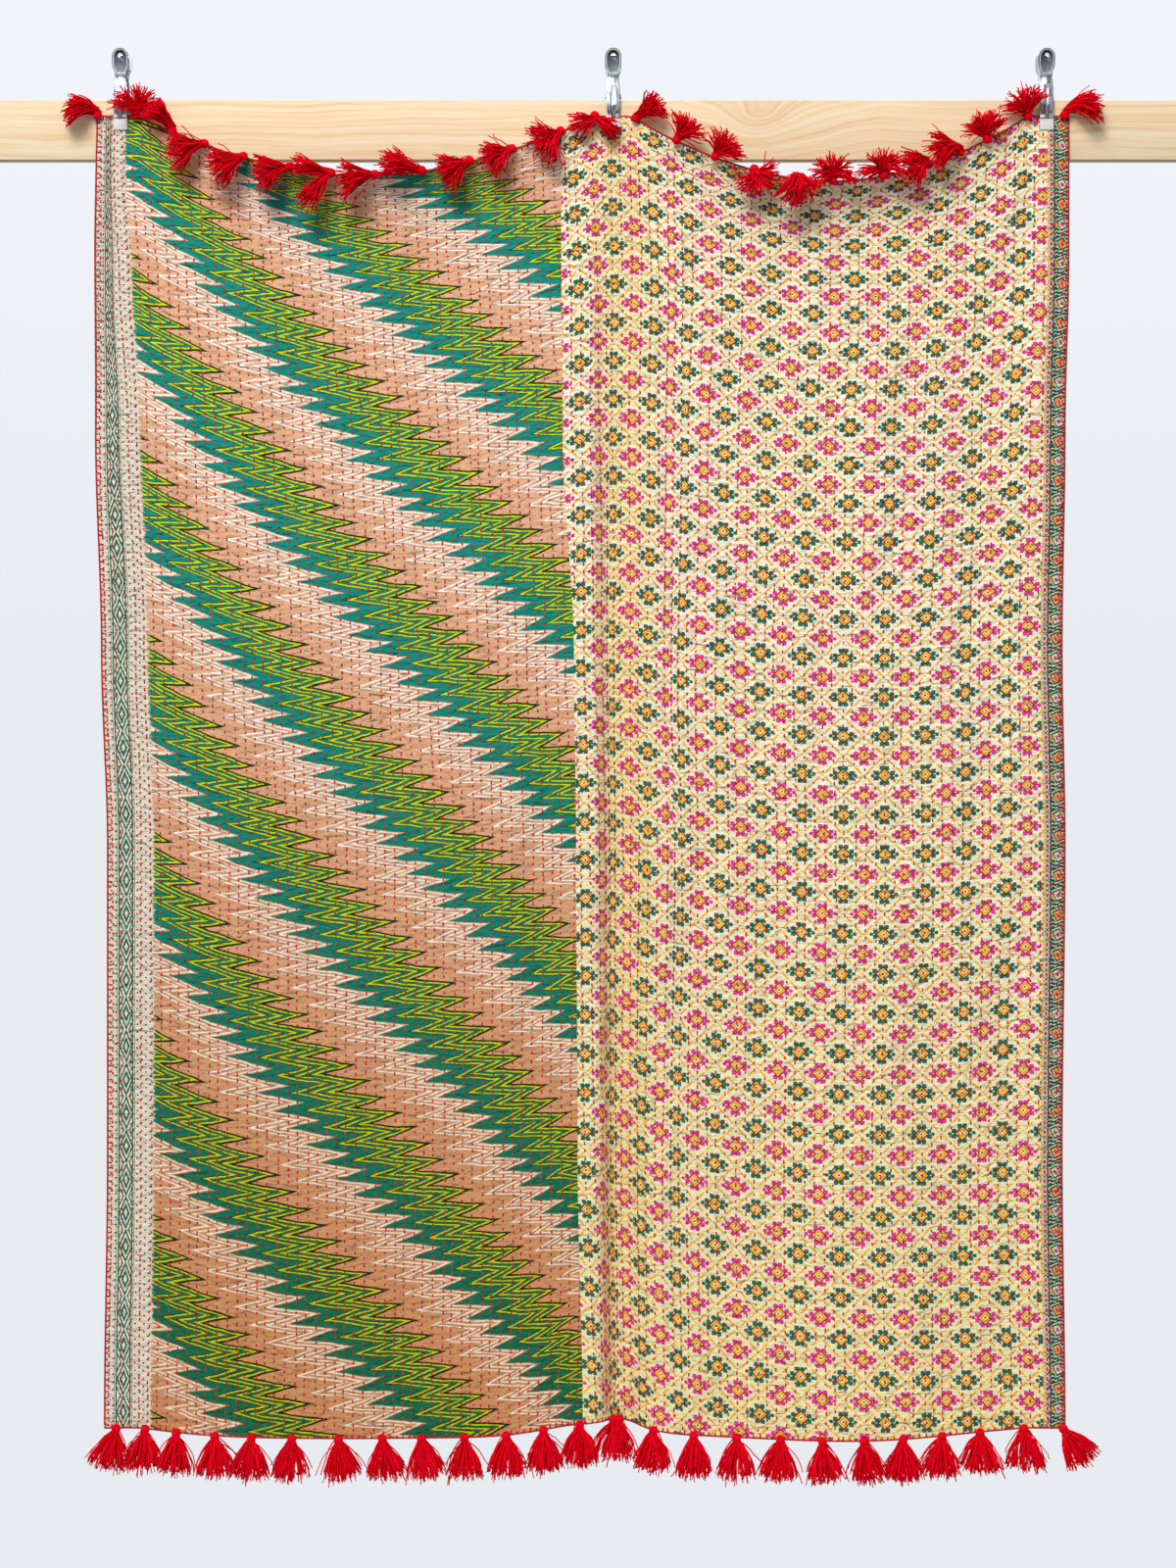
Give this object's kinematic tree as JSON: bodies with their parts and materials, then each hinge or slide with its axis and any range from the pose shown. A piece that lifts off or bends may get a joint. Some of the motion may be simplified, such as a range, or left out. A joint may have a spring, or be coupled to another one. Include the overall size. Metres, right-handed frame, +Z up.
{
  "type": "kantha quilt hung on a rail with clips",
  "caption": "Quilted cloth of two printed panels with tasselled ends, hung in swags from a flat wooden rail by sprung steel clips.",
  "frame": {"origin": "on the rail's back face, at mid height, half way along", "axes": "+Z up the hang of the cloth, +Y out of the rail's back face, +X to the right seen from the front"},
  "size_m": [1.7, 0.0964, 1.9259],
  "materials": {
    "pine": "planed, unvarnished",
    "steel": "polished, pressed",
    "zigzag_cotton": "printed, hand quilted",
    "diamond_cotton": "printed, hand quilted",
    "red_yarn": "soft cotton yarn"
  },
  "bodies": {
    "root": {"rail": "pine", "panel_zigzag": "zigzag_cotton", "panel_diamond": "diamond_cotton", "clip_left_front": "steel", "clip_left_rear": "steel", "clip_middle_front": "steel", "clip_middle_rear": "steel", "clip_right_front": "steel", "clip_right_rear": "steel", "tassel_top_01": "red_yarn", "tassel_top_02": "red_yarn", "tassel_top_03": "red_yarn", "tassel_top_04": "red_yarn", "tassel_top_05": "red_yarn", "tassel_top_06": "red_yarn", "tassel_top_07": "red_yarn", "tassel_top_08": "red_yarn", "tassel_top_09": "red_yarn", "tassel_top_10": "red_yarn", "tassel_top_11": "red_yarn", "tassel_top_12": "red_yarn", "tassel_top_13": "red_yarn", "tassel_top_14": "red_yarn", "tassel_top_15": "red_yarn", "tassel_top_16": "red_yarn", "tassel_top_17": "red_yarn", "tassel_top_18": "red_yarn", "tassel_top_19": "red_yarn", "tassel_top_20": "red_yarn", "tassel_top_21": "red_yarn", "tassel_top_22": "red_yarn", "tassel_top_23": "red_yarn", "tassel_top_24": "red_yarn", "tassel_top_25": "red_yarn", "tassel_hem_01": "red_yarn", "tassel_hem_02": "red_yarn", "tassel_hem_03": "red_yarn", "tassel_hem_04": "red_yarn", "tassel_hem_05": "red_yarn", "tassel_hem_06": "red_yarn", "tassel_hem_07": "red_yarn", "tassel_hem_08": "red_yarn", "tassel_hem_09": "red_yarn", "tassel_hem_10": "red_yarn", "tassel_hem_11": "red_yarn", "tassel_hem_12": "red_yarn", "tassel_hem_13": "red_yarn", "tassel_hem_14": "red_yarn", "tassel_hem_15": "red_yarn", "tassel_hem_16": "red_yarn", "tassel_hem_17": "red_yarn", "tassel_hem_18": "red_yarn", "tassel_hem_19": "red_yarn", "tassel_hem_20": "red_yarn", "tassel_hem_21": "red_yarn", "tassel_hem_22": "red_yarn", "tassel_hem_23": "red_yarn", "tassel_hem_24": "red_yarn", "tassel_hem_25": "red_yarn"}
  },
  "joints": []
}
